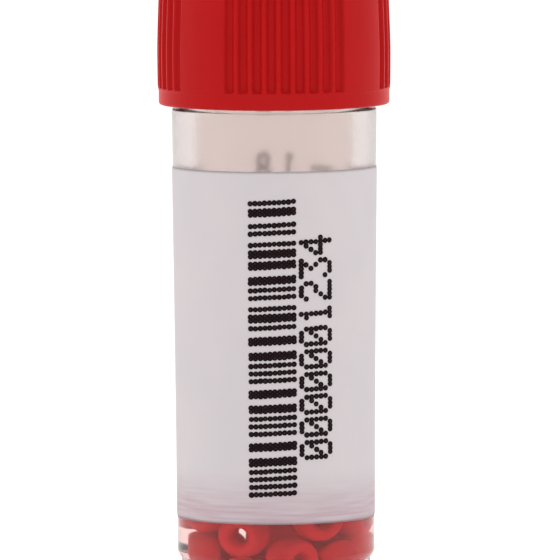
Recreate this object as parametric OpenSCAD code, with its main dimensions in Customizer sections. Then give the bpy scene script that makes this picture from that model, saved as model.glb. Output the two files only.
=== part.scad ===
// Cryogenic vial with an external-thread screw cap, printed marks and loose ring beads.
// Origin: centre of the foot's underside. +Z runs up the axis, and the writing patch faces -Y.

/* [Tube] */
// Outside diameter of the body at its shoulder, just under the cap
body_top_d = 12.5; // [12.2:0.1:13]
// Outside diameter of the body at its foot step
body_low_d = 12.04; // [11.9:0.02:12.2]
// Height of the body, from the foot step to the shoulder
body_h = 27.03; // [25:0.5:32]
// Diameter of the bore at the inside floor's rounding
bore_low_d = 9.55; // [9.5:0.05:9.7]
// Diameter of the bore at the rim
bore_top_d = 9.7; // [9.65:0.05:9.9]
// How far the inside floor lies below the foot step
floor_drop = 2.1; // [1:0.1:2.5]
// Radius of the inside floor's rounding
bowl_r = 2.2; // [2.1:0.05:2.3]
// Thickness of the floor
floor_t = 0.9; // [0.7:0.1:1.2]

/* [Foot] */
// Height of the foot, from the standing face to the step
foot_h = 7; // [6:0.25:9]
// Diameter of the foot over its ribs
foot_d = 11.55; // [11.3:0.05:11.7]
// Height of the slanted step between foot and body
step_h = 0.37; // [0.2:0.01:0.6]
// Diameter at the lower edge of the slanted step
step_low_d = 11.66; // [11.6:0.02:11.8]
// Wall of the foot's skirt, under its ribs
foot_wall = 0.8; // [0.6:0.1:1]
// Number of upright ribs round the foot
foot_ribs = 40; // [20:1:44]
// Width of a foot rib
foot_rib_w = 0.44; // [0.3:0.02:0.5]
// How far a foot rib stands out of the skirt
foot_rib_h = 0.16; // [0.1:0.02:0.2]
// Chamfer round the standing face
foot_chamfer = 0.25; // [0.1:0.05:0.4]

/* [Neck and thread] */
// Height of the neck, from the shoulder to the rim
neck_h = 10.65; // [9:0.25:12]
// Outside diameter of the neck between its threads
neck_d = 11.3; // [11.2:0.05:11.4]
// Bevel round the rim
rim_bevel = 0.2; // [0.1:0.05:0.25]
// Height of a thread ridge on the neck, and inside the cap
thread_depth = 0.45; // [0.4:0.01:0.48]
// Rise of a thread in one turn
thread_lead = 6; // [5:0.5:7]
// Number of thread starts
thread_starts = 2; // [1:1:3]
// Turns that each thread on the neck runs through
neck_thread_turns = 0.85; // [0.5:0.05:0.95]
// Turns that each thread in the cap runs through
cap_thread_turns = 0.6; // [0.4:0.05:0.7]
// Height of a ridge at its root
thread_root_w = 1.1; // [0.9:0.05:1.2]
// Height of a ridge at its crest
thread_crest_w = 0.5; // [0.4:0.05:0.6]
// Distance from the rim down to the neck's threads
thread_rim_gap = 1.2; // [0.8:0.1:2]
// Radial clearance between the neck's ridges and the cap's bore
thread_clear = 0.15; // [0.1:0.01:0.2]

/* [Cap] */
// Wall of the cap where it is widest, between its bore and the crests of its ribs
cap_wall = 0.86; // [0.8:0.02:1.1]
// How far the plain band at the cap's lower edge stands back from the widest place
band_inset = 0.08; // [0.02:0.02:0.16]
// Height of the plain band
band_h = 0.95; // [0.7:0.05:1.5]
// Height of the slanted ledge between the band and the ribs
ledge_h = 0.1; // [0.05:0.05:0.3]
// Height at which the cap starts to narrow towards its top
belly_h = 3.8; // [3:0.1:5]
// How much less the diameter is at the top of the ribs than at the widest
cap_taper = 0.76; // [0.4:0.02:1]
// Thickness of the cap's top
cap_top_t = 1.6; // [1.2:0.1:2]
// Gap between the cap's lower edge and the tube's shoulder
edge_gap = 0.25; // [0.15:0.05:0.5]
// Radius of the rounding round the cap's top
cap_round = 0.9; // [0.5:0.05:1.2]
// Radius of the rounding at the cap's lower edge
band_round = 0.22; // [0.1:0.02:0.3]

/* [Cap ribs] */
// Groups of ribs round the cap
rib_groups = 4; // [3:1:4]
// Grooves in a group
group_grooves = 9; // [5:1:10]
// Angle from one groove to the next
groove_pitch = 7.09; // [6.6:0.01:7.6]
// Turn of the first group from the front
group_turn = 5.8; // [0:0.1:45]
// Width of a groove
groove_w = 0.62; // [0.5:0.02:0.7]

/* [Washer] */
// Thickness of the sealing washer
washer_t = 1.2; // [0.8:0.1:1.6]
// Diameter of the washer's hole
washer_bore_d = 8.6; // [8:0.1:9.2]
// Radial gap between the washer and the cap's bore
washer_gap = 0.08; // [0.05:0.01:0.15]

/* [Prints] */
// Height of the writing patch
patch_h = 21.45; // [18:0.25:23]
// Height of the patch's lower edge above the foot step
patch_rise = 2.09; // [1.5:0.1:3]
// Angle that the patch covers round the tube
patch_angle = 220; // [160:5:260]
// Thickness of the white ink
patch_t = 0.04; // [0.03:0.01:0.06]
// Thickness of the black ink
ink_t = 0.03; // [0.02:0.01:0.05]
// Gap left under each layer of ink, so that no two surfaces share a place
ink_gap = 0.01; // [0.005:0.005:0.02]
// Spacing of the print head's columns, along the tube
dot_col = 0.23; // [0.2:0.002:0.25]
// Spacing of the print head's rows, round the tube
dot_row = 0.292; // [0.28:0.001:0.31]
// Diameter of a printed dot
dot_d = 0.22; // [0.15:0.01:0.22]
// Rows of dots across the bars
bar_rows = 10; // [8:1:10]
// Angle from the front to the first row of dots
print_start = -13.9; // [-20:0.1:-10]
// Slant of the printed columns
print_slant = 3; // [0:0.1:4]
// Width of a stroke in the graduation marks
mark_stroke = 0.3; // [0.2:0.02:0.36]
// Height of a graduation numeral
mark_h = 2; // [1.6:0.1:2.2]
// Width of a graduation numeral
mark_w = 1.1; // [0.9:0.05:1.2]
// Gap between graduation numerals
mark_gap = 0.35; // [0.3:0.05:0.5]
// Length of a graduation tick
tick_w = 2.6; // [1:0.1:3]
// Distance round the back from a tick to the middle line
tick_gap = 2.6; // [2.6:0.1:3]

/* [Beads] */
// Outside diameter of a bead
bead_d = 2.7; // [2.62:0.01:2.71]
// Length of a bead along its hole
bead_t = 1.85; // [1.78:0.01:1.86]
// Diameter of a bead's hole
bead_hole = 0.9; // [0.8:0.05:1]
// Gap left between the lowest beads and the inside floor
bead_clear = 0.08; // [0.06:0.01:0.1]
// Gap left between beads that lie on each other
bead_gap = 0.1; // [0.08:0.01:0.12]

/* [Hidden] */
$fn = 96;
eps = 0.01;

// Levels up the axis.
floor_z = foot_h - floor_drop;
bowl_z = floor_z + bowl_r;
shoulder_z = foot_h + body_h;
rim_z = shoulder_z + neck_h;
cap_z = shoulder_z + edge_gap;
ceiling_z = rim_z + washer_t;
cap_h = ceiling_z + cap_top_t - cap_z;

// Radii that mate with each other.
floor_r = bore_low_d / 2 - bowl_r;
neck_r = neck_d / 2;
crest_r = neck_r + thread_depth;
cap_bore_r = crest_r + thread_clear;

// Diameters of the cap: at its widest, at its lower band, and at the top of its ribs.
cap_d = 2 * (cap_bore_r + cap_wall);
band_d = cap_d - 2 * band_inset;
cap_top_d = cap_d - cap_taper;

// Levels where the threads start: a ridge in the cap runs just under its ridge on the neck.
neck_thread_z = rim_z - thread_rim_gap - thread_root_w / 2 - thread_lead * neck_thread_turns;
cap_thread_z = neck_thread_z - (thread_root_w + thread_crest_w) / 2;

// How deep a ridge's root is sunk into the wall that carries it.
root_sink = 0.2;

// The number that the digits and the bars show.
code = [0, 0, 0, 0, 0, 0, 1, 2, 3, 4];

// Wide elements of each digit in the interleaved two-of-five code, from 0 to 9.
two_of_five = [
  [0, 0, 1, 1, 0], [1, 0, 0, 0, 1], [0, 1, 0, 0, 1], [1, 1, 0, 0, 0], [0, 0, 1, 0, 1],
  [1, 0, 1, 0, 0], [0, 1, 1, 0, 0], [0, 0, 0, 1, 1], [1, 0, 0, 1, 0], [0, 1, 0, 1, 0]
];

// Bars and gaps of the whole code in columns, bar first: start, pairs of digits, stop.
code_widths = concat(
  [1, 1, 1, 1],
  [for (pair = [0:len(code) / 2 - 1], i = [0:4], side = [0, 1])
    1 + two_of_five[code[2 * pair + side]][i]],
  [2, 1, 1]
);
code_cols = sum_to(code_widths, len(code_widths));

// Dot patterns of the digits 0 to 9, five dots wide, top row first.
glyphs = [
  [" ### ", "#   #", "#  ##", "# # #", "##  #", "#   #", " ### "],
  ["  #  ", " ##  ", "  #  ", "  #  ", "  #  ", "  #  ", " ### "],
  [" ### ", "#   #", "    #", "  ## ", " #   ", "#    ", "#####"],
  ["#####", "   # ", "  #  ", "   # ", "    #", "#   #", " ### "],
  ["   # ", "  ## ", " # # ", "#  # ", "#####", "   # ", "   # "],
  ["#####", "#    ", "#### ", "    #", "    #", "#   #", " ### "],
  ["  ## ", " #   ", "#    ", "#### ", "#   #", "#   #", " ### "],
  ["#####", "    #", "   # ", "  #  ", " #   ", " #   ", " #   "],
  [" ### ", "#   #", "#   #", " ### ", "#   #", "#   #", " ### "],
  [" ### ", "#   #", "#   #", " ####", "    #", "   # ", " ##  "]
];
glyph_cols = 6;

// Strokes of the numerals in the graduation marks, as boxes in fractions of a numeral's
// width and height: left, bottom, right, top.
stroke_boxes = [
  ["0", [[0, 0, 1, 0], [0, 1, 1, 1], [0, 0, 0, 1], [1, 0, 1, 1]]],
  ["1", [[0.6, 0, 0.6, 1], [0.3, 0.82, 0.6, 0.82]]],
  ["5", [[0, 1, 1, 1], [0, 0.5, 0, 1], [0, 0.5, 1, 0.5], [1, 0, 1, 0.5], [0, 0, 1, 0]]],
  ["8", [[0, 0, 1, 0], [0, 0.5, 1, 0.5], [0, 1, 1, 1], [0, 0, 0, 1], [1, 0, 1, 1]]],
  [".", [[0.5, 0, 0.5, 0]]]
];

// Volume marks on the back: the words' characters and the volume in millilitres.
marks = [["1.8", 1.8], ["1.5", 1.5], ["1.0", 1], ["0.5", 0.5]];

// Two beads lie on the floor and six stand round them, seven stand over those, the front two
// of them apart from each other, seven more fill the top, and three are stacked in the middle.
seat_r = (bore_low_d - bead_t) / 2;
lying_r = seat_r - 0.64 * bead_d;
lying_z = rest_height(0, 0);
stack_step = bead_t + bead_gap;

// Groups of beads, from the bottom up: beads in the group, angle from one to the next, radius,
// height of the first centre above the inside floor, rise from one to the next, angle of the
// first, lean of the holes from upright and how much it sways, and turn of the holes.
bead_rings = [
  [1, 0, lying_r, rest_height(lying_r, 0), 0, 233.5, 0, 0, 0],
  [1, 0, 0.25 * bead_d, lying_z, 0, 59, 0, 0, 0],
  [1, 0, seat_r - 0.225 * bead_d, 0.69 * bead_d, 0, 284.5, 81, 0, -28],
  [4, -51.7, seat_r - 0.218 * bead_d, 0.708 * bead_d, 0.002 * bead_d, 184.5, 86, -2, 25],
  [1, 0, seat_r - 0.26 * bead_d, 0.553 * bead_d, 0, 338, 40, 0, 0],
  [1, 0, seat_r - 0.08 * bead_d, lying_z + (bead_t + bead_d) / 2 + bead_gap, 0, 241.5, 83, 0, 0],
  [1, 0, seat_r - 0.13 * bead_d, 1.58 * bead_d, 0, 309, 93, 0, 12],
  [5, 49.5, seat_r - 0.092 * bead_d, 1.592 * bead_d, 0.04 * bead_d, 1, 82, 2, 0],
  [1, 0, 0.09 * bead_d, lying_z + stack_step, 0, 87, 0, 0, 0],
  [7, 51.4, seat_r - 0.108 * bead_d, 2.642 * bead_d, 0, 276, 85, 2, 6],
  [2, 0, 0, lying_z + 2 * stack_step, stack_step, 0, 0, 0, 0]
];
bead_count = sum_to([for (ring = bead_rings) ring[0]], len(bead_rings));

function sum_to(list, n) = n < 1 ? 0 : list[n - 1] + sum_to(list, n - 1);

// Height above the inside floor at which a leaning bead's centre rests: its lower rim is clear
// of the flat floor, and the rim of its outer face is clear of the floor's rounding.
function rest_height(radius, lean) =
  let (
    edge_r = (bead_d - bead_hole) / 4,
    half_d = bead_d / 2 - edge_r,
    half_t = bead_t / 2 - edge_r,
    on_floor = half_d * sin(lean) + half_t * cos(lean) + edge_r + bead_clear,
    across = radius + half_d * cos(lean) + half_t * sin(lean) - floor_r,
    in_bowl = bowl_r - sqrt(pow(bowl_r - edge_r - bead_clear, 2) - across * across)
  )
  max(on_floor, in_bowl + half_t * cos(lean) - half_d * sin(lean));

function bead_name(i) = str("bead_", i < 9 ? "0" : "", i + 1);

// Outside radius of the body at a level.
function body_r(z) =
  (body_low_d + (body_top_d - body_low_d) * (z - foot_h) / body_h) / 2;

// Level that a volume in millilitres reaches in the bore.
function fill_z(volume) =
  let (
    ring_part = floor_r * floor_r + floor_r * bowl_r * PI / 2,
    bowl_volume = PI * bowl_r * (ring_part + bowl_r * bowl_r * 2 / 3),
    mid_r = (bore_low_d + bore_top_d) / 4
  )
  bowl_z + (1000 * volume - bowl_volume) / (PI * mid_r * mid_r);

// A helical ridge from radius root to radius tip, whose flanks widen towards the root.
module thread_ridge(root, tip, root_w, tip_w, turns, first_z, first_angle) {
  steps = ceil(turns * 36);
  section = [[root, -root_w / 2], [tip, -tip_w / 2], [tip, tip_w / 2], [root, root_w / 2]];
  points = [
    for (i = [0:steps], p = section)
    let (t = turns * i / steps, a = first_angle + 360 * t)
    [p[0] * cos(a), p[0] * sin(a), first_z + thread_lead * t + p[1]]
  ];
  turn_way = tip > root ? 1 : -1;
  sides = [
    for (i = [0:steps - 1], k = [0:3])
    let (a = 4 * i + k, b = 4 * i + (k + 1) % 4)
    each [[a, b, b + 4], [a, b + 4, a + 4]]
  ];
  last = 4 * steps;
  ends = [[0, 2, 1], [0, 3, 2], [last, last + 1, last + 2], [last, last + 2, last + 3]];
  faces = [for (f = concat(sides, ends)) turn_way > 0 ? f : [f[2], f[1], f[0]]];
  polyhedron(points, faces);
}

// Ridges of a thread, one for each start, spread evenly round the axis.
module thread(root, tip, turns, first_z) {
  for (s = [0:thread_starts - 1])
    thread_ridge(root, tip, thread_root_w, thread_crest_w, turns, first_z,
      360 * s / thread_starts);
}

// Half section of the tube: outside, then the bore, then the hollow under the foot.
module tube_section() {
  skirt_r = foot_d / 2 - foot_rib_h;
  under_r = skirt_r - foot_wall;
  difference() {
    polygon([
      [0, 0],
      [skirt_r - foot_chamfer, 0],
      [skirt_r, foot_chamfer],
      [skirt_r, foot_h - step_h],
      [step_low_d / 2, foot_h - step_h],
      [body_low_d / 2, foot_h],
      [body_top_d / 2, shoulder_z],
      [neck_r, shoulder_z],
      [neck_r, rim_z - rim_bevel],
      [neck_r - rim_bevel, rim_z],
      [0, rim_z]
    ]);
    polygon([
      [0, bowl_z],
      [bore_low_d / 2, bowl_z],
      [bore_top_d / 2, rim_z],
      [bore_top_d / 2, rim_z + 1],
      [0, rim_z + 1]
    ]);
    bowl_section();
    under_section(under_r);
  }
}

// Half section of the rounded inside floor.
module bowl_section() {
  translate([0, floor_z])
    square([floor_r, bowl_r + eps]);
  intersection() {
    translate([floor_r, bowl_z])
      circle(bowl_r, $fn = 180);
    translate([0, floor_z])
      square([bore_low_d / 2, bowl_r + eps]);
  }
}

// Half section of the hollow under the foot, whose roof follows the inside floor.
module under_section(under_r) {
  roof_r = bowl_r + floor_t;
  difference() {
    translate([0, -1])
      square([under_r, bowl_z + 1]);
    translate([floor_r, bowl_z])
      circle(roof_r, $fn = 180);
    translate([-1, bowl_z - roof_r])
      square([floor_r + 1, roof_r + 1]);
  }
}

module tube() {
  color([0.86, 0.82, 0.81, 0.6]) {
    rotate_extrude()
      tube_section();
    foot_rib_ring();
    thread(neck_r - root_sink, crest_r, neck_thread_turns, neck_thread_z);
  }
}

// Upright ribs round the foot.
module foot_rib_ring() {
  rib_r = foot_rib_w / 2;
  for (i = [0:foot_ribs - 1])
    rotate(360 * (i + 0.5) / foot_ribs)
      translate([foot_d / 2 - rib_r, 0, 2 * foot_chamfer])
        cylinder(h = foot_h - step_h - 2 * foot_chamfer + eps, r = rib_r, $fn = 24);
}

// Half section of the cap's outside.
module cap_section() {
  round_z = cap_h - cap_round;
  difference() {
    polygon([
      [0, 0],
      [band_d / 2, 0],
      [band_d / 2, band_h],
      [cap_d / 2, band_h + ledge_h],
      [cap_d / 2, belly_h],
      [cap_top_d / 2, round_z],
      [cap_top_d / 2, cap_h],
      [0, cap_h]
    ]);
    corner_cut(cap_top_d / 2, cap_h, cap_round, 1);
    corner_cut(band_d / 2, 0, band_round, -1);
  }
}

// What is cut off an outer corner at [r, z] to round it; up is 1 for a top corner, -1 below.
module corner_cut(r, z, radius, up) {
  translate([r, z])
    mirror([0, up > 0 ? 0 : 1])
      difference() {
        translate([-radius, -radius])
          square(radius + 1);
        translate([-radius, -radius])
          circle(radius, $fn = 72);
      }
}

// One groove, leaning inwards as the cap's side does.
module groove() {
  rise = cap_h - cap_round - band_h;
  lean = atan(cap_taper / 2 / rise);
  translate([cap_d / 2, 0, band_h])
    rotate([0, -lean, 0])
      cylinder(h = cap_h, r = groove_w / 2, $fn = 32);
}

module cap() {
  color([0.72, 0.1, 0.1])
    translate([0, 0, cap_z]) {
      difference() {
        rotate_extrude()
          cap_section();
        translate([0, 0, -1])
          cylinder(h = ceiling_z - cap_z + 1, r = cap_bore_r);
        for (g = [0:rib_groups - 1], i = [0:group_grooves - 1])
          rotate(group_turn - 90 + 360 * g / rib_groups
            + groove_pitch * (i - (group_grooves - 1) / 2))
            groove();
      }
      translate([0, 0, -cap_z])
        thread(cap_bore_r + root_sink, neck_r + thread_clear, cap_thread_turns, cap_thread_z);
    }
}

module sealing_washer() {
  color([0.93, 0.93, 0.92])
    translate([0, 0, rim_z])
      difference() {
        cylinder(h = washer_t, r = cap_bore_r - washer_gap);
        translate([0, 0, -1])
          cylinder(h = washer_t + 2, d = washer_bore_d);
      }
}

// A piece of a shell on the body: from one level to another, round an angle from its start.
module wall_shell(low_z, high_z, start, angle, inner, t) {
  rotate(start)
    rotate_extrude(angle = angle)
      polygon([
        [body_r(low_z) + inner, low_z],
        [body_r(low_z) + inner + t, low_z],
        [body_r(high_z) + inner + t, high_z],
        [body_r(high_z) + inner, high_z]
      ]);
}

patch_low_z = foot_h + patch_rise;
patch_mid_z = patch_low_z + patch_h / 2;
ink_inner = patch_t + 2 * ink_gap;

module writing_patch() {
  color([0.85, 0.82, 0.83])
    wall_shell(patch_low_z, patch_low_z + patch_h, -90 - patch_angle / 2, patch_angle,
      ink_gap, patch_t);
}

// Angle round the tube, from the front, that a row of dots lies at.
row_angle = dot_row / (body_r(patch_mid_z) + ink_inner) * 180 / PI;
bar_mid = print_start + row_angle * (bar_rows - 1) / 2;

// One bar: its first column and its width in columns.
module bar(low_col, cols) {
  z = patch_mid_z + (low_col + cols / 2 - code_cols / 2) * dot_col;
  h = cols * dot_col;
  angle = row_angle * bar_rows;
  r = body_r(z) + ink_inner;
  translate([0, 0, z])
    rotate(bar_mid)
      rotate([0, -print_slant, 0])
        rotate(-90 - angle / 2)
          rotate_extrude(angle = angle)
            translate([r, -h / 2])
              square([ink_t, h]);
}

module barcode_print() {
  color([0.13, 0.1, 0.11])
    for (i = [0:2:len(code_widths) - 1])
      bar(sum_to(code_widths, i), code_widths[i]);
}

// One dot of ink, at a row and a column counted from the print's start.
module dot(row, col) {
  a = print_start + row_angle * row;
  z = patch_mid_z + col * dot_col
    + (a - bar_mid) / row_angle * dot_row * tan(print_slant);
  rotate(a - 90)
    translate([body_r(z) + ink_inner, 0, z])
      rotate([0, 90, 0])
        cylinder(h = ink_t, d = dot_d, $fn = 16);
}

module number_print() {
  first_row = bar_rows + 1;
  color([0.13, 0.1, 0.11])
    for (n = [0:len(code) - 1], row = [0:6], col = [0:4])
      if (glyphs[code[n]][row][col] == "#")
        dot(first_row + row, glyph_cols * (n - len(code) / 2) + col + 0.5);
}

// Outline of one numeral, whose lower left corner is at the origin.
module numeral_outline(c) {
  w = mark_w - mark_stroke;
  h = mark_h - mark_stroke;
  boxes = stroke_boxes[search([c], stroke_boxes)[0]][1];
  for (b = boxes)
    translate([b[0] * w, b[1] * h])
      square([(b[2] - b[0]) * w + mark_stroke, (b[3] - b[1]) * h + mark_stroke]);
}

// One numeral at the back: its left edge is a distance round from the middle, and z is its foot.
module numeral(c, left, z) {
  r = body_r(z);
  half_angle = mark_w / r * 180 / PI;
  turn = 90 + (left / mark_w + 0.5) * half_angle;
  intersection() {
    wall_shell(z - mark_stroke, z + mark_h + mark_stroke, turn - half_angle, 2 * half_angle,
      ink_gap, patch_t);
    rotate(turn)
      translate([r / 2, -mark_w / 2, z])
        rotate([90, 0, 90])
          linear_extrude(r)
            numeral_outline(c);
  }
}

// A tick and its number at the level of a volume.
module mark(word, volume) {
  z = fill_z(volume);
  point_pitch = (mark_w + mark_gap) * 0.7;
  degrees = 180 / PI / body_r(z);
  wall_shell(z - mark_stroke / 2, z + mark_stroke / 2, 90 - (tick_gap + tick_w) * degrees,
    tick_w * degrees, ink_gap, patch_t);
  for (i = [0:len(word) - 1])
    numeral(word[i], point_pitch * i - mark_w * 1.5, z - mark_h / 2);
}

module graduation_print() {
  color([0.93, 0.92, 0.92])
    for (m = marks)
      mark(m[0], m[1]);
}

// A ring bead round the axis, with a rounded section, centred on the origin.
module bead_shape() {
  wall = (bead_d - bead_hole) / 2;
  rotate_extrude()
    translate([bead_hole / 2 + wall / 2, 0]) {
      translate([0, bead_t / 2 - wall / 2])
        circle(wall / 2, $fn = 48);
      translate([0, wall / 2 - bead_t / 2])
        circle(wall / 2, $fn = 48);
      square([wall, bead_t - wall], center = true);
    }
}

// The bead with a number in the order of the rings.
module bead(number) {
  starts = [for (k = [0:len(bead_rings)]) sum_to([for (ring = bead_rings) ring[0]], k)];
  ring = [for (k = [0:len(bead_rings) - 1]) if (number >= starts[k] && number < starts[k + 1]) k][0];
  spec = bead_rings[ring];
  i = number - starts[ring];
  side = i % 2 == 0 ? -1 : 1;
  color([0.68, 0.17, 0.18])
    rotate(spec[5] + spec[1] * i)
      translate([spec[2], 0, floor_z + spec[3] + spec[4] * i])
        rotate([0, -spec[6] - side * spec[7], side * spec[8]])
          bead_shape();
}

tube();
cap();
sealing_washer();
writing_patch();
graduation_print();
barcode_print();
number_print();
for (i = [0:bead_count - 1])
  bead(i);
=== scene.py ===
"""Cryovial with a ribbed screw cap and ring beads: the looks, built round the CAD model."""
import math

import bmesh
import bpy
import numpy as np
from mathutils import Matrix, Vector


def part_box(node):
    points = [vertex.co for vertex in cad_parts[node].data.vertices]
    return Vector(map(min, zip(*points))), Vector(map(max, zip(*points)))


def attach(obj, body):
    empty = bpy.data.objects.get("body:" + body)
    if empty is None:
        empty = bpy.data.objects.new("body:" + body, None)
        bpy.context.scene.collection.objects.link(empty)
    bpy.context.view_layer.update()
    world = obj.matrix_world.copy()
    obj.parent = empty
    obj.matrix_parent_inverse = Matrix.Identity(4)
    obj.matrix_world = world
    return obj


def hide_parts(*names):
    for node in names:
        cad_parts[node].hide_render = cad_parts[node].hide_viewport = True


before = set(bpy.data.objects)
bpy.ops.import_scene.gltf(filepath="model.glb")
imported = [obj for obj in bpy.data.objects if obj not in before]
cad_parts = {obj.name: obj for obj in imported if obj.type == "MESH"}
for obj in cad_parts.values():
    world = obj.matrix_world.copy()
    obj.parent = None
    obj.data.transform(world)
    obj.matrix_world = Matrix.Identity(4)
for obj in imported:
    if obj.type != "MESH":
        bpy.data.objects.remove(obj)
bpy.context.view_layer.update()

# ---------------------------------------------------------------- sizes, in millimetres

MM = 0.001
TURN = 2 * math.pi
DEGREE = math.pi / 180
FRONT = -90 * DEGREE


def extent(node):
    """Lowest and highest corner of a CAD node, in millimetres."""
    low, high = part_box(node)
    return np.array(low) / MM, np.array(high) / MM


RIM_Z = extent("tube")[1][2]
CAP_Z = extent("cap")[0][2]
CAP_H = extent("cap")[1][2] - CAP_Z
CEILING_Z = extent("sealing_washer")[1][2]
PATCH_LOW, PATCH_HIGH = extent("writing_patch")[0][2], extent("writing_patch")[1][2]
# Body and foot: levels, and outside radii. The flare is the body's last widening at its step.
SHOULDER_Z = CAP_Z - 0.25
STEP_Z, STEP_LOW_Z = 7.0, 6.63
BODY_TOP_R, BODY_LOW_R, FLARE, STEP_LOW_R = 6.25, 6.02, 0.035, 5.83
SKIRT_R, UNDER_R = 5.615, 4.815
FOOT_RIBS, FOOT_RIB_PITCH, FOOT_RIB_HALF_W, FOOT_RIB_H = 40, 0.9, 0.22, 0.16
# Bore: the inside floor, its rounding, the floor's thickness, and the storage fluid's level.
FLOOR_Z, BOWL_R, FLOOR_T = 4.9, 2.2, 0.9
BORE_LOW_R, BORE_TOP_R, BORE_FLUID_R = 4.775, 4.85, 4.795
FLUID_Z, FLUID_OVERLAP, MENISCUS_H = 14.5, 0.02, 0.4
# Neck, cap bore and their threads.
NECK_R, BORE_CAP_R = 5.65, 6.25
LEAD, ROOT_W, CREST_W, THREAD_DEPTH = 6.0, 1.1, 0.5, 0.45
NECK_TURNS, CAP_TURNS = 0.85, 0.6
NECK_THREAD_Z = RIM_Z - 1.2 - ROOT_W / 2 - LEAD * NECK_TURNS
CAP_THREAD_Z = NECK_THREAD_Z - (ROOT_W + CREST_W) / 2
# Cap: its radius at the band and over the ribs, the height where it is widest, the taper
# above it, and how far the top is drawn in to meet that.
BAND_R, RIBS_R = 7.03, 7.11
BELLY_H, TAPER, TAPER_H, TOP_SHARE = 3.4, 0.38, 8.9, 0.945
GROOVES, GROOVE_R, GROOVE_HALF_W, GROOVE_DEPTH = 9, 7.1, 0.32, 0.31
GROOVE_PITCH, GROUP_TURN = 7.09 * DEGREE, 5.8 * DEGREE
WASHER_HOLE_R = 4.3
# Prints: the gap under each ink, the inks' thickness, and the ink-jet's spacing and dots.
PATCH_ANGLE = 220 * DEGREE
INK_GAP, PATCH_T, INK_T = 0.01, 0.04, 0.03
DOT_COL, DOT_ROW, DOT_R = 0.23, 0.29, 0.168
PRINT_START, PRINT_SLANT = -13.9 * DEGREE, 3.0 * DEGREE
BAR_ROWS, DIGIT_FIRST_ROW, DIGIT_ROW_PITCH = 10, 10.6, 1.07
MARK_STROKE, TICK_START, TICK_END = 0.3, -5.05, -2.75
NUMERAL_PITCH, NUMERAL_SHIFT = 0.95, -0.12
# Beads: radius of the ring that their section is carried round, and the section's half sizes.
BEAD_RING_R, BEAD_HALF_W, BEAD_HALF_T = 0.9, 0.45, 0.925


def smooth(t):
    """The smooth step 3t^2 - 2t^3 of t kept within 0 and 1."""
    t = np.clip(t, 0, 1)
    return t * t * (3 - 2 * t)


def bend(v, power):
    """A sine or cosine v bent so that the two together draw a superellipse of that power."""
    return np.sign(v) * np.abs(v) ** (2 / power)


def body_radius(z):
    """Outside radius of the body: a draft that grows with the height share to the power 1.5,
    plus a flare that dies away a millimetre above the foot step."""
    share = np.clip((z - STEP_Z) / (SHOULDER_Z - STEP_Z), 0, 1)
    low = BODY_LOW_R - FLARE
    return low + (BODY_TOP_R - low) * share**1.5 + FLARE * np.exp(-np.maximum(z - STEP_Z, 0))


# ---------------------------------------------------------------- meshes


def piece(name, points, faces, material, body, stands_for=(), loose=False):
    """A smooth-shaded object at the origin from points in millimetres. A loose one first has
    its doubled points merged and its faces turned outwards."""
    mesh = bpy.data.meshes.new(name)
    mesh.from_pydata((np.asarray(points) * MM).tolist(), [], faces)
    if loose:
        shape = bmesh.new()
        shape.from_mesh(mesh)
        bmesh.ops.remove_doubles(shape, verts=shape.verts, dist=2e-8)
        bmesh.ops.dissolve_degenerate(shape, edges=shape.edges, dist=1e-8)
        bmesh.ops.recalc_face_normals(shape, faces=shape.faces)
        shape.to_mesh(mesh)
        shape.free()
    mesh.polygons.foreach_set("use_smooth", np.ones(len(mesh.polygons), bool))
    mesh.materials.append(material)
    mesh.validate()
    made = bpy.data.objects.new(name, mesh)
    bpy.context.scene.collection.objects.link(made)
    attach(made, body)
    if stands_for:
        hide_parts(*stands_for)
    return made


def mark_points(made, name, values):
    """Stores a value for each point of a piece, for its material to read."""
    made.data.attributes.new(name, "FLOAT", "POINT").data.foreach_set("value", values)


def quads(rows, cols, start=0):
    """Four-sided faces of a grid stored row by row, whose last column meets the first."""
    row = np.arange(rows - 1)[:, None] * cols
    col = np.arange(cols)
    after = (col + 1) % cols
    return start + np.stack(
        [row + col, row + after, row + cols + after, row + cols + col], -1
    ).reshape(-1, 4)


def profile(corners, spacing):
    """A line through corners given as radius, height and fillet: each corner is the parabola
    that leaves and meets its two sides at that distance, and sides are cut to the spacing."""
    corners = np.array(corners, float)
    points, sizes = corners[:, :2], corners[:, 2]
    out = [points[:1]]
    for i in range(1, len(points)):
        here = points[i]
        side = here - points[i - 1]
        length = np.linalg.norm(side)
        begin = out[-1][-1]
        end = here - side / length * min(sizes[i], length / 2)
        count = max(1, int(np.ceil(np.linalg.norm(end - begin) / spacing)))
        out.append(begin + (end - begin) * np.linspace(0, 1, count + 1)[1:, None])
        if sizes[i] > 0 and i + 1 < len(points):
            onward = points[i + 1] - here
            reach = np.linalg.norm(onward)
            far = here + onward / reach * min(sizes[i], reach / 2)
            t = np.linspace(0, 1, 6)[1:, None]
            out.append((1 - t) ** 2 * end + 2 * t * (1 - t) * here + t**2 * far)
    return np.concatenate(out)


def lathe(line, angles, radii=None):
    """Points and faces of a closed solid of revolution: point (r cos a, r sin a, z) for each
    profile point and angle, with a single point where the profile starts and ends on the
    axis. radii, if given, replaces the profile's radius at each row and angle."""
    rows = line[1:-1]
    r = rows[:, :1] * np.ones(len(angles)) if radii is None else radii[1:-1]
    z = rows[:, 1:] * np.ones(len(angles))
    grid = np.stack([r * np.cos(angles), r * np.sin(angles), z], -1).reshape(-1, 3)
    points = np.concatenate([grid, [[0, 0, line[0, 1]], [0, 0, line[-1, 1]]]])
    n, cols = len(rows), len(angles)
    col = np.arange(cols)
    after = (col + 1) % cols
    first = np.stack([np.full(cols, n * cols), after, col], -1)
    end = (n - 1) * cols
    last = np.stack([end + col, end + after, np.full(cols, n * cols + 1)], -1)
    return points, quads(n, cols).tolist() + first.tolist() + last.tolist()


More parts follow.
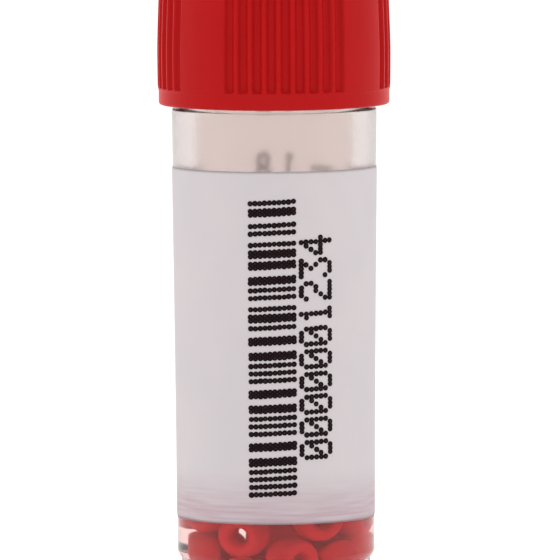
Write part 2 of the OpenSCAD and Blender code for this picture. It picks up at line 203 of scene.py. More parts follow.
def on_wall(across, z, out):
    """Points on the body's outside: distance round it from the front, height, and how far out
    from the wall, all in millimetres."""
    r = body_radius(z)
    angle = FRONT + across / r
    return np.stack([(r + out) * np.cos(angle), (r + out) * np.sin(angle), z], -1)


def thread_height(angle, z, first_z, turns):
    """Share of the full ridge on two helices half a turn apart: one within half the crest's
    width of a helix, none beyond half the root's, fading in and out over twelve degrees."""
    height = np.zeros(np.broadcast(angle, z).shape)
    for start in (0, 0.5):
        turn = (angle / TURN - start) % 1
        flank = (ROOT_W / 2 - np.abs(z - first_z - LEAD * turn)) * 2 / (ROOT_W - CREST_W)
        height = np.maximum(height, smooth(flank) * smooth(np.minimum(turn, turns - turn) * 30))
    return height


# ---------------------------------------------------------------- materials


def linear(code):
    """Linear colour from an sRGB hex code."""
    share = np.array([int(code[i : i + 2], 16) for i in (1, 3, 5)]) / 255
    bright = np.where(share <= 0.04045, share / 12.92, ((share + 0.055) / 1.055) ** 2.4)
    return (*bright.tolist(), 1.0)


def add(tree, kind, inputs=None, **settings):
    """Adds a shader node with its settings; inputs are values, or sockets that feed them."""
    made = tree.nodes.new("ShaderNode" + kind)
    for key, value in settings.items():
        setattr(made, key, value)
    for key, value in (inputs or {}).items():
        if isinstance(value, bpy.types.NodeSocket):
            tree.links.new(value, made.inputs[key])
        else:
            made.inputs[key].default_value = value
    return made


def blank(name):
    """An empty material, with its node tree and the socket of the object's coordinates."""
    made = bpy.data.materials.new(name)
    made.use_nodes = True
    made.node_tree.nodes.clear()
    tree = made.node_tree
    return made, tree, add(tree, "TexCoord").outputs["Object"]


def finish_material(tree, inputs):
    """Ends a material with one Principled shader."""
    shader = add(tree, "BsdfPrincipled", inputs)
    add(tree, "OutputMaterial", {"Surface": shader.outputs[0]})


def natural_polypropylene():
    """Injection-moulded natural polypropylene: clear where something touches it, milky with
    distance. Crystals and a matt mould scatter the light, which the roughness stands for."""
    made, tree, place = blank("polypropylene_natural_moulded")
    # Flow marks of about 2 mm, drawn out along the axis.
    flow = add(tree, "Mapping", {"Vector": place, "Scale": (1, 1, 0.35)})
    marks = add(tree, "TexNoise", {"Vector": flow.outputs[0], "Scale": 500, "Detail": 3})
    gloss = add(tree, "MapRange", {"Value": marks.outputs["Fac"], "To Min": 0.13, "To Max": 0.19})
    # Where the fluid wets the bore its matt skin no longer scatters, so the wall is clearer,
    # and the light bends there only by the ratio of the two: 1.49 over 1.37.
    height = add(tree, "SeparateXYZ", {"Vector": place}).outputs["Z"]
    low = add(tree, "MapRange", {
        "Value": height, "From Min": (FLUID_Z - 1) * MM, "From Max": (FLUID_Z + 1) * MM,
        "To Min": 1.0, "To Max": 0.0})
    colour = add(tree, "Mix", {0: low.outputs[0], "A": linear("#E8DDDA"), "B": linear("#FBF6F5")},
                 data_type="RGBA")
    clear = add(tree, "MapRange", {"Value": low.outputs[0], "To Min": 0.985, "To Max": 1.0})
    satin = add(tree, "MapRange", {"Value": low.outputs[0], "To Min": 1.0, "To Max": 0.5})
    rough = add(tree, "Math", {0: gloss.outputs[0], 1: satin.outputs[0]}, operation="MULTIPLY")
    wet = add(tree, "Attribute", attribute_name="wet")
    index = add(tree, "MapRange", {"Value": wet.outputs["Fac"], "To Min": 1.49, "To Max": 1.088})
    finish_material(tree, {
        "Base Color": colour.outputs["Result"],
        "Roughness": rough.outputs[0],
        "IOR": index.outputs[0],
        "Transmission Weight": clear.outputs[0],
        "Specular IOR Level": 0.25,
    })
    return made


def red_polypropylene():
    """Moulded polypropylene with a red master batch: satin, a little uneven in its gloss."""
    made, tree, place = blank("polypropylene_red_moulded")
    # Pigment swirls of about 3 mm.
    swirl = add(tree, "TexNoise", {"Vector": place, "Scale": 330, "Detail": 4, "Roughness": 0.6})
    colour = add(tree, "ValToRGB", {"Fac": swirl.outputs["Fac"]})
    ends = colour.color_ramp.elements
    ends[0].position, ends[0].color = 0.3, linear("#BA1214")
    ends[1].position, ends[1].color = 0.7, linear("#BF1416")
    # Seen along the surface the red is painted brighter: painted light, standing for the light that
    # comes through the plastic from behind.
    along = add(tree, "MapRange", {
        "Value": add(tree, "LayerWeight", {"Blend": 0.5}).outputs["Facing"],
        "From Min": 0.45, "From Max": 0.9})
    lit = add(tree, "Mix", {
        0: along.outputs[0], "A": colour.outputs[0], "B": linear("#D61416")}, data_type="RGBA")
    gloss = add(tree, "MapRange", {"Value": swirl.outputs["Fac"], "To Min": 0.3, "To Max": 0.42})
    # Mould grain of 0.1 mm.
    grain = add(tree, "TexNoise", {"Vector": place, "Scale": 10000, "Detail": 2})
    bump = add(tree, "Bump", {"Height": grain.outputs["Fac"], "Strength": 0.1, "Distance": 1e-5})
    finish_material(tree, {
        "Base Color": lit.outputs["Result"],
        "Roughness": gloss.outputs[0],
        "Normal": bump.outputs[0],
        "IOR": 1.49,
        "Specular IOR Level": 0.1,
    })
    return made


def white_patch_ink():
    """Screen-printed white ink: matt, with the fine lines that the screen leaves round the tube.
    Near the lower end the lines are painted pink: painted light of the red beads that shine through
    the ink."""
    made, tree, place = blank("screen_ink_white_patch")
    height = add(tree, "SeparateXYZ", {"Vector": place}).outputs["Z"]
    # Painted light: towards the lower end the screen's lines take a painted pink that stands for
    # the red beads shining through.
    painted_bead_light_low = add(tree, "MapRange", {
        "Value": height, "From Min": (STEP_Z + 2.4) * MM, "From Max": (STEP_Z + 5.6) * MM,
        "To Min": 1.0, "To Max": 0.0}, interpolation_type="SMOOTHSTEP")
    # Lines 0.2 mm apart up the tube, very long round it.
    stretch = add(tree, "Mapping", {"Vector": place, "Scale": (0.06, 0.06, 1)})
    lines = add(tree, "TexNoise", {"Vector": stretch.outputs[0], "Scale": 5200, "Detail": 2})
    cloud = add(tree, "TexNoise", {"Vector": place, "Scale": 260, "Detail": 3})
    painted_pink_lines = add(tree, "Math", {0: lines.outputs["Fac"], 1: painted_bead_light_low.outputs[0]}, operation="MULTIPLY")
    show = add(tree, "Math", {0: painted_pink_lines.outputs[0], 1: 1.5}, operation="MULTIPLY")
    plain = add(tree, "ValToRGB", {"Fac": cloud.outputs["Fac"]})
    ends = plain.color_ramp.elements
    ends[0].position, ends[0].color = 0.3, linear("#D8D1D4")
    ends[1].position, ends[1].color = 0.7, linear("#DCD4D6")
    colour = add(tree, "Mix", {
        0: show.outputs[0], "A": plain.outputs[0], "B": linear("#C6AEB6")}, data_type="RGBA")
    bump = add(tree, "Bump", {"Height": lines.outputs["Fac"], "Strength": 0.15, "Distance": 5e-6})
    # Thin ink lets about half of the daylight through: its underside, which faces the axis, is
    # given a painted glow of that much, standing for that daylight, and lights what is in the tube.
    side = add(tree, "VectorMath", {
        0: place, 1: add(tree, "NewGeometry").outputs["True Normal"]}, operation="DOT_PRODUCT")
    under = add(tree, "Math", {0: side.outputs["Value"], 1: 0.0}, operation="LESS_THAN")
    glow = add(tree, "Math", {0: under.outputs[0], 1: 0.5}, operation="MULTIPLY")
    finish_material(tree, {
        "Base Color": colour.outputs["Result"],
        "Roughness": 0.62,
        "Normal": bump.outputs[0],
        "Specular IOR Level": 0.2,
        "Emission Color": linear("#F4EEF0"),
        "Emission Strength": glow.outputs[0],
    })
    return made


def white_mark_ink():
    """Pad-printed white ink of the volume marks: thin and a little uneven."""
    made, tree, place = blank("pad_ink_white_marks")
    cloud = add(tree, "TexNoise", {"Vector": place, "Scale": 3000, "Detail": 3})
    colour = add(tree, "ValToRGB", {"Fac": cloud.outputs["Fac"]})
    ends = colour.color_ramp.elements
    ends[0].position, ends[0].color = 0.3, linear("#DEDADB")
    ends[1].position, ends[1].color = 0.7, linear("#EAE7E7")
    finish_material(tree, {
        "Base Color": colour.outputs[0], "Roughness": 0.6, "Specular IOR Level": 0.2})
    return made


def black_jet_ink():
    """Solvent ink-jet ink: near black with a red cast. Each drop dries with a dark rim and a
    thinner middle, through which the white shows a little."""
    made, tree, place = blank("jet_ink_black")
    rim = add(tree, "Attribute", attribute_name="rim")
    cloud = add(tree, "TexNoise", {"Vector": place, "Scale": 4000, "Detail": 3})
    thick = add(tree, "Math", {0: cloud.outputs["Fac"], 1: rim.outputs["Fac"]}, operation="ADD")
    colour = add(tree, "ValToRGB", {"Fac": thick.outputs[0]})
    ends = colour.color_ramp.elements
    ends[0].position, ends[0].color = 0.45, linear("#3F2B32")
    ends[1].position, ends[1].color = 1.0, linear("#190D12")
    finish_material(tree, {
        "Base Color": colour.outputs[0], "Roughness": 0.5, "Specular IOR Level": 0.08})
    return made


def silicone():
    """Moulded silicone rubber of the washer: milky white, soft sheen."""
    made, tree, place = blank("silicone_white_moulded")
    dust = add(tree, "TexNoise", {"Vector": place, "Scale": 1500, "Detail": 4})
    gloss = add(tree, "MapRange", {"Value": dust.outputs["Fac"], "To Min": 0.4, "To Max": 0.55})
    colour = add(tree, "ValToRGB", {"Fac": dust.outputs["Fac"]})
    ends = colour.color_ramp.elements
    ends[0].position, ends[0].color = 0.3, linear("#E6E4E0")
    ends[1].position, ends[1].color = 0.7, linear("#EFEEEB")
    finish_material(tree, {
        "Base Color": colour.outputs[0], "Roughness": gloss.outputs[0], "IOR": 1.41,
        "Specular IOR Level": 0.2})
    return made


def red_ceramic():
    """Dyed porous ceramic of the beads: red right through, slightly blotched, a dull glaze."""
    made, tree, place = blank("ceramic_red_dyed")
    blotch = add(tree, "TexNoise", {"Vector": place, "Scale": 900, "Detail": 4, "Roughness": 0.6})
    colour = add(tree, "ValToRGB", {"Fac": blotch.outputs["Fac"]})
    ends = colour.color_ramp.elements
    ends[0].position, ends[0].color = 0.3, linear("#F0272F")
    ends[1].position, ends[1].color = 0.7, linear("#F83037")
    # Pores of 0.1 mm.
    pores = add(tree, "TexNoise", {"Vector": place, "Scale": 9000, "Detail": 3})
    bump = add(tree, "Bump", {"Height": pores.outputs["Fac"], "Strength": 0.2, "Distance": 1e-5})
    finish_material(tree, {
        "Base Color": colour.outputs[0], "Roughness": 0.6, "Normal": bump.outputs[0],
        "Specular IOR Level": 0.03})
    return made


# ---------------------------------------------------------------- the tube


def bowl_line(radius, floor_z, edge_r):
    """A quarter-round about the bowl's centre ring, from the axis outwards to a radius:
    height is the centre's height less the square root of radius^2 less distance^2."""
    flat = BORE_LOW_R - BOWL_R
    out = np.sin(np.linspace(0, 1, 15) * math.pi / 2)
    r = np.concatenate([[0.0], flat + (edge_r - flat) * out])
    z = floor_z + radius - np.sqrt(np.maximum(radius**2 - np.maximum(r - flat, 0) ** 2, 0))
    return np.stack([r, z], -1)


def build_tube():
    """Tube with its foot: one closed lathe profile, from the middle of the hollow under the
    floor, round the foot, up the outside, over the rim and down the bore. The foot's ribs and
    the neck's threads are added to the radius where the profile runs straight."""
    roof = bowl_line(BOWL_R + FLOOR_T, FLOOR_Z - FLOOR_T, UNDER_R)
    outside = profile([
        (UNDER_R, roof[-1, 1], 0), (UNDER_R, 0, 0.12), (SKIRT_R, 0, 0.25),
        (SKIRT_R, STEP_LOW_Z, 0.08), (STEP_LOW_R, STEP_LOW_Z, 0.05), (BODY_LOW_R, STEP_Z, 0.1),
        (BODY_TOP_R, SHOULDER_Z, 0.12), (NECK_R, SHOULDER_Z, 0.15)], 1.1)
    neck = profile([
        (NECK_R, SHOULDER_Z + 0.2, 0), (NECK_R, RIM_Z, 0.22), (BORE_TOP_R, RIM_Z, 0.2),
        (BORE_TOP_R, RIM_Z - 0.4, 0)], 0.12)
    bowl = bowl_line(BOWL_R, FLOOR_Z, BORE_LOW_R)[::-1]
    bore = profile([
        (BORE_TOP_R, RIM_Z - 0.5, 0), (BORE_FLUID_R, FLUID_Z + 0.2, 0),
        (BORE_FLUID_R, FLUID_Z, 0), (BORE_LOW_R, FLOOR_Z + BOWL_R, 0)], 2.0)
    line = np.concatenate([roof, outside[1:], neck, bore, bowl[1:]])
    angles = np.linspace(0, TURN, 400, endpoint=False)
    r, z = line[:, :1], line[:, 1:]
    # The body's side is first drawn straight, then takes on the body's draft and flare.
    share = (z - STEP_Z) / (SHOULDER_Z - STEP_Z)
    straight = BODY_LOW_R + share * (BODY_TOP_R - BODY_LOW_R)
    on_body = (r > NECK_R + 0.25) & (z > STEP_Z)
    r = np.where(on_body, r + body_radius(z) - straight, r)
    threads = THREAD_DEPTH * thread_height(angles, z, NECK_THREAD_Z, NECK_TURNS)
    on_neck = (np.abs(r - NECK_R) < 1e-3) & (z > SHOULDER_Z + 0.1)
    # A foot rib is half a circle wide, and fades out towards the ground and the step.
    across = np.abs((angles / TURN * FOOT_RIBS) % 1 - 0.5) * FOOT_RIB_PITCH / FOOT_RIB_HALF_W
    ends = smooth((z - 0.4) / 0.3) * smooth((STEP_LOW_Z + 0.12 - z) / 0.15)
    ribs = FOOT_RIB_H * np.sqrt(np.clip(1 - across**2, 0, 1)) * ends
    on_skirt = np.abs(r - SKIRT_R) < 1e-3
    radii = r + on_neck * threads + on_skirt * ribs
    points, faces = lathe(line, angles, radii)
    made = piece("tube_body", points, faces, natural_polypropylene(), "vial", ["tube"])
    first = len(roof) + len(outside) - 1 + len(neck)
    wet = ((np.arange(len(line)) >= first) & (line[:, 1] < FLUID_Z + 0.1)).astype(float)
    mark_points(made, "wet", np.append(np.repeat(wet[1:-1], len(angles)), [0.0, 1.0]))
    return made


def storage_fluid():
    """Clear watery storage fluid round the beads, mirror smooth, with a trace of their dye.
    Only its level bends light: where it wets the tube, the tube's own bore does."""
    made, tree, place = blank("storage_fluid_clear")
    level = add(tree, "Attribute", attribute_name="level")
    index = add(tree, "MapRange", {"Value": level.outputs["Fac"], "To Min": 1.0, "To Max": 1.37})
    finish_material(tree, {
        "Base Color": linear("#FFDEDB"), "Roughness": 0.0, "IOR": index.outputs[0],
        "Transmission Weight": 1.0})
    return made


def build_fluid():
    """Fluid that wets the bore: its sides lie a little inside the wall, so that no film of air
    is left between, and its level climbs to the wall as the radius share to the power eight."""
    side_r = BORE_LOW_R + FLUID_OVERLAP
    bowl = bowl_line(BOWL_R + FLUID_OVERLAP, FLOOR_Z - FLUID_OVERLAP, side_r)
    wall = profile([(side_r, FLOOR_Z + BOWL_R, 0), (side_r, FLUID_Z + MENISCUS_H, 0)], 0.6)
    share = np.linspace(1, 0, 24)[1:]
    level = np.stack([side_r * share, FLUID_Z + MENISCUS_H * share**8], -1)
    line = np.concatenate([bowl, wall[1:], level])
    angles = np.linspace(0, TURN, 200, endpoint=False)
    points, faces = lathe(line, angles)
    made = piece("fluid", points, faces, storage_fluid(), "vial")
    free = (np.arange(len(line)) >= len(line) - len(level)).astype(float)
    mark_points(made, "level", np.append(np.repeat(free[1:-1], len(angles)), [0.0, 1.0]))
    return made


# ---------------------------------------------------------------- the cap


def groove_depth(angles):
    """Depth share of the grooves: nine at one pitch in each of four groups, each a hollow that
    is (1 - x^2)^0.6 deep, x being the distance from its middle over half its width."""
    quarter = TURN / 4
    from_group = (angles - FRONT - GROUP_TURN + quarter / 2) % quarter - quarter / 2
    last = (GROOVES - 1) / 2
    nearest = np.clip(np.round(from_group / GROOVE_PITCH), -last, last)
    across = np.abs(from_group - nearest * GROOVE_PITCH) * GROOVE_R / GROOVE_HALF_W
    return np.clip(1 - across**2, 0, 1) ** 0.6


def cap_angles():
    """Angles round the cap: fourteen to each groove's pitch, and two degrees on the panels."""
    half = GROOVES / 2
    group = (np.arange(GROOVES * 14) / 14 - half) * GROOVE_PITCH
    panel = np.linspace(half * GROOVE_PITCH, TURN / 4 - half * GROOVE_PITCH, 14)[:-1]
    one = np.concatenate([group, panel])
    return (FRONT + GROUP_TURN + one + np.arange(4)[:, None] * TURN / 4).ravel()


def build_cap():
    """Screw cap: one closed lathe profile from the middle of the ceiling, down the threaded
    bore, round the lower band, up the ribbed barrel and over the top."""
    ceiling = CEILING_Z - CAP_Z
    bore = profile([(0, ceiling, 0), (BORE_CAP_R, ceiling, 0.15)], 1.5)
    wall = profile([(BORE_CAP_R, ceiling - 0.2, 0), (BORE_CAP_R, 0, 0.15), (6.6, 0, 0)], 0.16)
    band = profile([
        (6.65, 0, 0), (BAND_R, 0, 0.2), (BAND_R, 0.88, 0.1), (RIBS_R, 1.12, 0.1),
        (RIBS_R, 1.3, 0)], 0.12)
    side = profile([(RIBS_R, 1.5, 0), (RIBS_R, CAP_H, 0.9), (0, CAP_H, 0)], 0.45)
    line = np.concatenate([bore, wall, band, side])
    angles = cap_angles()
    r, h = line[:, :1], line[:, 1:]
    # The barrel draws in as a parabola below its belly, and by the taper up to the top.
    barrel = np.where(h < BELLY_H, -0.004 * (BELLY_H - h) ** 2,
                      -TAPER * (np.maximum(h - BELLY_H, 0) / TAPER_H) ** 1.3)
    outer = (h > 1.04) & (r > BORE_CAP_R + 0.05)
    top = h > CAP_H - 0.001
    r = np.where(outer & ~top, r + barrel, r)
    r = np.where(top, r * TOP_SHARE, r)
    deep = GROOVE_DEPTH * smooth((h - 0.95) / 0.24) * smooth((CAP_H - 0.15 - h) / 0.7)
    threads = THREAD_DEPTH * thread_height(angles, h + CAP_Z, CAP_THREAD_Z, CAP_TURNS)
    on_bore = (np.abs(r - BORE_CAP_R) < 1e-3) & (h < ceiling)
    radii = r - np.where(outer, deep, 0) * groove_depth(angles) - on_bore * threads
    points, faces = lathe(line + [0, CAP_Z], angles, radii)
    return piece("screw_cap", points, faces, red_polypropylene(), "cap", ["cap"])


def build_washer():
    """Sealing washer: a ring whose section is a superellipse of power eight."""
    low, high = extent("sealing_washer")
    middle, half_w = (WASHER_HOLE_R + high[0]) / 2, (high[0] - WASHER_HOLE_R) / 2
    half_h = (high[2] - low[2]) / 2
    t = np.linspace(0, TURN, 40, endpoint=False)[:, None]
    angles = np.linspace(0, TURN, 128, endpoint=False)
    r = middle + half_w * bend(np.cos(t), 8) * np.ones(128)
    z = low[2] + half_h + half_h * bend(np.sin(t), 8) * np.ones(128)
    grid = np.stack([r * np.cos(angles), r * np.sin(angles), z], -1)
    grid = np.concatenate([grid, grid[:1]])
    return piece("washer", grid.reshape(-1, 3), quads(41, 128).tolist(), silicone(), "seal",
                 ["sealing_washer"], loose=True)


# ---------------------------------------------------------------- the prints


def build_patch():
    """Writing patch: a section that loops from the ink's underside over its outside, carried
    round the front of the body; the ink thins out to nothing over the last 0.15 mm."""
    z = np.linspace(PATCH_LOW, PATCH_HIGH, 90)
    edge = smooth(np.minimum(z - PATCH_LOW, PATCH_HIGH - z) / 0.12)
    loop_z = np.concatenate([z, z[::-1]])
    loop_t = np.concatenate([edge, np.zeros(len(z))])
    half = PATCH_ANGLE / 2 * body_radius(PATCH_LOW)
    share = np.linspace(-1, 1, 181)
    thick = smooth((1 - np.abs(share)) * half / 0.15)
    across = share[:, None] * PATCH_ANGLE / 2 * body_radius(loop_z)
    out = INK_GAP + PATCH_T * thick[:, None] * loop_t
    grid = on_wall(across, loop_z * np.ones_like(across), out)
    faces = quads(len(share), len(loop_z)).tolist()
    return piece("patch", grid.reshape(-1, 3), faces, white_patch_ink(), "vial",
                 ["writing_patch"], loose=True)


def ribbon(path, width, closed=False):
    """A flat stroke along a path in the plane: four points at each step, half the width to
    either side and at the ink's foot and top. An open stroke's half width falls to nothing at
    its ends as a half circle does."""
    step = np.gradient(path, axis=0)
    if closed:
        step = np.roll(path, -1, 0) - np.roll(path, 1, 0)
    side = np.stack([-step[:, 1], step[:, 0]], -1) / np.linalg.norm(step, axis=1)[:, None]
    half = np.full(len(path), width / 2)
    thick = np.ones(len(path))
    if not closed:
        run = np.concatenate([[0], np.cumsum(np.linalg.norm(np.diff(path, axis=0), axis=1))])
        end = np.minimum(run, run[-1] - run)
        short = np.clip(width / 2 - end, 0, None)
        half = np.sqrt(np.clip((width / 2) ** 2 - short**2, 0, None))
        thick = smooth(end / 0.03)
    left, right = path + side * half[:, None], path - side * half[:, None]
    flat = np.stack([left, left, right, right], 1)
    out = INK_GAP + PATCH_T * thick[:, None] * np.array([0, 1, 1, 0])
    if closed:
        flat, out = np.concatenate([flat, flat[:1]]), np.concatenate([out, out[:1]])
    return flat, out


def line_path(*points):
    """Straight strokes through points, with steps that crowd towards the two ends."""
    points = np.array(points, float)
    lengths = np.concatenate([[0], np.cumsum(np.linalg.norm(np.diff(points, axis=0), axis=1))])
    t = (1 - np.cos(np.linspace(0, math.pi, 40))) / 2 * lengths[-1]
    return np.stack([np.interp(t, lengths, points[:, k]) for k in (0, 1)], -1)


def oval_path(x, y, half_w, half_h, start=0.0, end=360.0, count=40):
    """A rounded loop or arc about a point: a superellipse of power 2.4."""
    t = np.radians(np.linspace(start, end, count, endpoint=abs(end - start) < 359))
    return np.stack([x + half_w * bend(np.cos(t), 2.4), y + half_h * bend(np.sin(t), 2.4)], -1)


def numeral_strokes(word):
    """Strokes of a numeral that is 0.8 wide and 1.7 high between its middle lines, about its
    own middle: each is a path and whether it closes."""
    if word == "0":
        return [(oval_path(0, 0, 0.4, 0.85), True)]
    if word == "1":
        return [(line_path((-0.22, 0.58), (0.06, 0.85), (0.06, -0.85)), False)]
    if word == "5":
        flag = line_path((0.34, 0.85), (-0.3, 0.85), (-0.36, 0.1))[:-1]
        return [(flag, False), (oval_path(0, -0.3, 0.4, 0.55, 125, -140), False)]
    if word == "8":
        return [(oval_path(0, 0.43, 0.33, 0.42), True), (oval_path(0, -0.42, 0.4, 0.43), True)]
    return [(line_path((0, -0.84), (0, -0.86)), False)]


def fill_level(volume):
    """Level that a volume in millilitres reaches: the rounded floor is a disc, a quarter-round
    ring and a half ball's share, and what is left over stands in a bore of the mean radius."""
    flat = BORE_LOW_R - BOWL_R
    bowl = math.pi * BOWL_R * (flat**2 + flat * BOWL_R * math.pi / 2 + BOWL_R**2 * 2 / 3)
    mean_r = (BORE_LOW_R + BORE_TOP_R) / 2
    return FLOOR_Z + BOWL_R + (1000 * volume - bowl) / (math.pi * mean_r**2)


def build_marks():
    """Volume marks on the back, at 1.8, 1.5, 1.0 and 0.5 ml: a tick and a numeral each."""
    parts = []
    for word in ("1.8", "1.5", "1.0", "0.5"):
        level = fill_level(float(word))
        back = math.pi * body_radius(level)
        strokes = [(line_path((TICK_START, 0), (TICK_END, 0)), False, 0)]
        for i, sign in enumerate(word):
            shift = NUMERAL_PITCH * (i - 1) + NUMERAL_SHIFT
            strokes += [(path, closed, shift) for path, closed in numeral_strokes(sign)]
        for path, closed, shift in strokes:
            flat, out = ribbon(path, MARK_STROKE, closed)
            parts.append(on_wall(flat[..., 0] + shift + back, flat[..., 1] + level, out))
    points, faces, start = [], [], 0
    for grid in parts:
        faces += quads(len(grid), 4, start).tolist()
        points.append(grid.reshape(-1, 3))
        start += grid.size // 3
    return piece("volume_marks", np.concatenate(points), faces, white_mark_ink(), "vial",
                 ["graduation_print"], loose=True)


# The generic number; which of each digit's five elements are wide in the interleaved
# two-of-five code; and the digits' dots.
CODE = "0000001234"
WIDE = ["00110", "10001", "01001", "11000", "00101",
        "10100", "01100", "00011", "10010", "01010"]
GLYPHS = {
    "0": [" ### ", "#   #", "#  ##", "# # #", "##  #", "#   #", " ### "],
    "1": ["  #  ", " ##  ", "  #  ", "  #  ", "  #  ", "  #  ", " ### "],
    "2": [" ### ", "#   #", "    #", "  ## ", " #   ", "#    ", "#####"],
    "3": ["#####", "   # ", "  #  ", "   # ", "    #", "#   #", " ### "],
    "4": ["   # ", "  ## ", " # # ", "#  # ", "#####", "   # ", "   # "],
}


def bar_dots():
    """Rows and columns of the bars' dots: start, five interleaved pairs of digits and stop, a
    wide element being two columns, and ten rows of dots to a column. Where two columns lie
    side by side their ink has run together, which a dot between each four shows."""
    widths = [1, 1, 1, 1]
    for a, b in zip(CODE[::2], CODE[1::2]):
        for x, y in zip(WIDE[int(a)], WIDE[int(b)]):
            widths += [1 + int(x), 1 + int(y)]
    widths += [2, 1, 1]
    inked = np.repeat(np.arange(len(widths)) % 2 == 0, widths)
    cols = np.flatnonzero(inked) + 0.5 - len(inked) / 2
    rows, cols = np.meshgrid(np.arange(float(BAR_ROWS)), cols, indexing="ij")
    wide = np.flatnonzero(inked[1:] & inked[:-1]) + 1 - len(inked) / 2
    between = np.meshgrid(np.arange(BAR_ROWS - 1) + 0.5, wide, indexing="ij")
    return [np.append(one, more) for one, more in zip((rows, cols), between)]


def digit_dots():
    """Rows and columns of the digits' dots, five by seven with a column between digits, and
    the rows a little further apart than the bars' are."""
    found = [(DIGIT_FIRST_ROW + DIGIT_ROW_PITCH * row, 6 * (n - 5) + col + 0.5)
             for n, sign in enumerate(CODE)
             for row, bits in enumerate(GLYPHS[sign]) for col, bit in enumerate(bits) if bit == "#"]
    return np.array(found, float).T


def dots(rows, cols, seed, material, name, node):
    """Drops of ink: each a low dish on fourteen sides, highest at 0.85 of its radius, shifted
    and sized a little at random. The attribute rim is the share of the radius."""
    rng = np.random.default_rng(seed)
    middle = (PATCH_LOW + PATCH_HIGH) / 2
    r_mid = body_radius(middle)
    across = PRINT_START * r_mid + DOT_ROW * rows
    bar_middle = PRINT_START * r_mid + DOT_ROW * (BAR_ROWS - 1) / 2
    z = middle + cols * DOT_COL + (across - bar_middle) * math.tan(PRINT_SLANT)
    across = across + rng.normal(0, 0.006, len(rows))
    z = z + rng.normal(0, 0.007, len(rows))
    size = DOT_R * rng.normal(1, 0.03, len(rows))
    sides = 14
    t = np.linspace(0, TURN, sides, endpoint=False)
    ring = np.stack([np.cos(t), np.sin(t)], -1)
    # From the middle of the top out over the rim, down its side and back under the middle.
    shares = np.array([0.0, 0.45, 0.85, 1.0, 1.0, 0.0])
    heights = np.array([0.6, 0.8, 1.0, 0.3, 0.0, 0.0])
    flat = shares[:, None, None] * ring
    spread = flat[None] * size[:, None, None, None]
    x = across[:, None, None] + spread[..., 0]
    y = z[:, None, None] + spread[..., 1]
    out = PATCH_T + 2 * INK_GAP + INK_T * heights[None, :, None] * np.ones_like(x)
    grid = on_wall(x, y, out)
    one = quads(len(shares), sides)
    first = np.arange(len(across))[:, None, None] * len(shares) * sides
    faces = (one + first).reshape(-1, 4).tolist()
    made = piece(name, grid.reshape(-1, 3), faces, material, "vial", [node])
    mark_points(made, "rim", np.broadcast_to(shares[:, None], x.shape).ravel())
    return made


# ---------------------------------------------------------------- the beads


def bead_frame(node):
    """Centre and axis of a bead's CAD node: its points, each taken once, spread alike in two
    directions, and the axis is the third."""
    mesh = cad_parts[node].data
    co = np.empty(len(mesh.vertices) * 3)
    mesh.vertices.foreach_get("co", co)
    co = co.reshape(-1, 3) / MM
    co = np.unique(np.round(co, 4), axis=0)
    centre = (co.min(0) + co.max(0)) / 2
    spread, ways = np.linalg.eigh((co - centre).T @ (co - centre))
    return centre, ways[:, 0 if spread[1] - spread[0] > spread[2] - spread[1] else 2]


def build_bead(node, number, material):
    """Ring bead: a superellipse section of power 2.6 carried round the hole, with a slow
    wobble of three and five waves that only takes away from its outside."""
    centre, axis = bead_frame(node)
    side = np.cross(axis, [0.3, 0.9, 0.1])
    side /= np.linalg.norm(side)
    third = np.cross(axis, side)
    t = np.linspace(0, TURN, 36, endpoint=False)[:, None]
    a = np.linspace(0, TURN, 72, endpoint=False)
    wobble = 1 - 0.012 * (2 + np.sin(3 * a + number) + np.sin(5 * a + 2.3 * number)) / 2
    flatten = 1 - 0.02 * (1 + np.sin(2 * a + 1.7 * number)) / 2
    r = BEAD_RING_R + BEAD_HALF_W * bend(np.cos(t), 2.6) * wobble
    h = BEAD_HALF_T * bend(np.sin(t), 2.6) * flatten
    grid = (centre + (r * np.cos(a))[..., None] * side + (r * np.sin(a))[..., None] * third
            + h[..., None] * axis)
    grid = np.concatenate([grid, grid[:1]])
    faces = quads(len(grid), len(a)).tolist()
    return piece(f"ring_bead_{number:02d}", grid.reshape(-1, 3), faces, material, "vial",
                 [node], loose=True)


# ---------------------------------------------------------------- stage, light and camera


def build_stage():
    """Pale floor: a disc of wide rings, lit as any surface. What the lens, a gloss or the clear
    wall sees of it is raised to white, and the shadow stays."""
    made, tree, place = blank("stage_floor")
    path = add(tree, "LightPath")
    seen = add(tree, "Math", {0: path.outputs["Is Camera Ray"], 1: path.outputs["Is Glossy Ray"]},
               operation="MAXIMUM")
    seen = add(tree, "Math", {0: seen.outputs[0], 1: path.outputs["Is Transmission Ray"]},
               operation="MAXIMUM")
    lift = add(tree, "Math", {0: seen.outputs[0], 1: 0.3}, operation="MULTIPLY")
    glow = add(tree, "Emission", {"Strength": lift.outputs[0]})
    base = add(tree, "BsdfDiffuse", {"Color": linear("#F4F3F2")})
    both = add(tree, "AddShader", {0: base.outputs[0], 1: glow.outputs[0]})
    add(tree, "OutputMaterial", {"Surface": both.outputs[0]})
    angles = np.linspace(0, TURN, 64, endpoint=False)
    radii = np.array([30.0, 200.0, 900.0, 3000.0])[:, None]
    ring = np.stack([radii * np.cos(angles), radii * np.sin(angles), 0 * radii * angles], -1)
    points = np.concatenate([ring.reshape(-1, 3), [[0, 0, 0]]]) * MM
    faces = quads(4, 64)[:, ::-1].tolist() + [[256, i, (i + 1) % 64] for i in range(64)]
    mesh = bpy.data.meshes.new("stage_floor")
    mesh.from_pydata(points.tolist(), [], faces)
    mesh.materials.append(made)
    floor = bpy.data.objects.new("stage_floor", mesh)
    bpy.context.scene.collection.objects.link(floor)


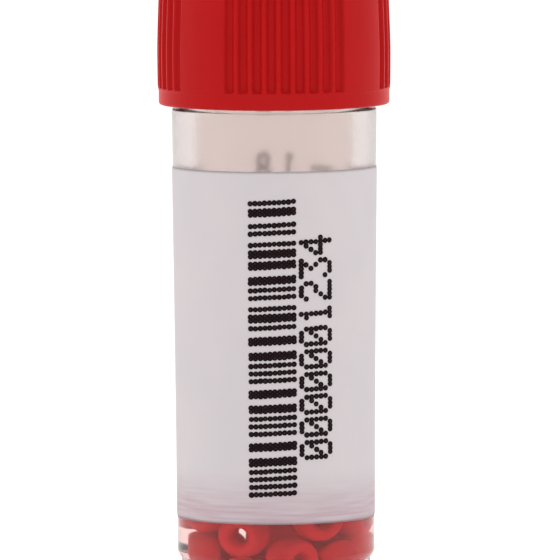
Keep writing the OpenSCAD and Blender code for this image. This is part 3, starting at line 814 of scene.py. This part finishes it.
def build_light():
    """An even white surround, with two soft lamps from the sides and one from above."""
    world = bpy.data.worlds.new("studio")
    bpy.context.scene.world = world
    world.use_nodes = True
    tree = world.node_tree
    tree.nodes.clear()
    path = add(tree, "LightPath")
    clear = add(tree, "Math", {0: path.outputs["Is Camera Ray"],
                               1: path.outputs["Is Transmission Ray"]}, operation="MAXIMUM")
    plain = add(tree, "MapRange", {"Value": clear.outputs[0], "To Min": 0.86, "To Max": 1.0})
    # The dim room in front, where the lens is, as a gloss or the inside of the wall mirrors it.
    ahead = add(tree, "SeparateXYZ", {"Vector": add(tree, "TexCoord").outputs["Generated"]})
    room = add(tree, "MapRange", {
        "Value": ahead.outputs["Y"], "From Min": -0.8, "From Max": -0.1, "To Min": 0.12,
        "To Max": 1.0}, interpolation_type="SMOOTHSTEP")
    mirrored = add(tree, "Math", {0: path.outputs["Glossy Depth"], 1: 1.0}, operation="MINIMUM")
    level = add(tree, "Mix", {
        0: mirrored.outputs[0], "A": plain.outputs[0], "B": room.outputs[0]})
    sky = add(tree, "Background", {"Color": (1, 1, 1, 1), "Strength": level.outputs[0]})
    add(tree, "OutputWorld", {"Surface": sky.outputs[0]})
    for name, place, size, power in (
        ("left", (-0.65, -0.12, 0.25), 0.5, 0.5),
        ("right", (0.65, -0.12, 0.25), 0.5, 0.5),
        ("above", (0.0, -0.05, 0.75), 0.6, 0.5),
    ):
        lamp = bpy.data.lights.new("lamp_" + name, "AREA")
        lamp.shape, lamp.size, lamp.energy = "DISK", size, power
        holder = bpy.data.objects.new("lamp_" + name, lamp)
        aim = np.array([0, 0, 0.025]) - place
        holder.location = place
        holder.rotation_euler = Vector(aim).to_track_quat("-Z", "Y").to_euler()
        holder.visible_glossy = False
        bpy.context.scene.collection.objects.link(holder)


def build_camera():
    """Camera 0.8 m away and 4.5 degrees up, rolled a quarter of a degree, whose frame takes in
    34.15 mm where the vial's axis is."""
    lens = bpy.data.cameras.new("camera")
    lens.sensor_width = 36
    lens.lens = 36 * 800 / 34.15
    lens.clip_start, lens.clip_end = 0.05, 10
    rise = 4.5 * DEGREE
    aim = Vector((0.31 * MM, 0, (STEP_Z + 16.5) * MM))
    eye = Vector((0, -math.cos(rise), math.sin(rise)))
    holder = bpy.data.objects.new("camera", lens)
    holder.location = aim + eye * 0.8
    turn = (-eye).to_track_quat("-Z", "Y")
    roll = Matrix.Rotation(-0.256 * DEGREE, 4, "Z")
    holder.rotation_euler = (turn.to_matrix().to_4x4() @ roll).to_euler()
    bpy.context.scene.collection.objects.link(holder)
    bpy.context.scene.camera = holder


# ---------------------------------------------------------------- putting it together

build_tube()
build_fluid()
build_cap()
build_washer()
build_patch()
build_marks()
ink = black_jet_ink()
dots(*bar_dots(), 11, ink, "code_bars", "barcode_print")
dots(*digit_dots(), 12, ink, "code_digits", "number_print")
ceramic = red_ceramic()
for number, bead in enumerate(sorted(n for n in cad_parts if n.startswith("bead_")), 1):
    build_bead(bead, number, ceramic)
build_stage()
build_light()
build_camera()
bpy.context.scene.view_settings.view_transform = "Standard"
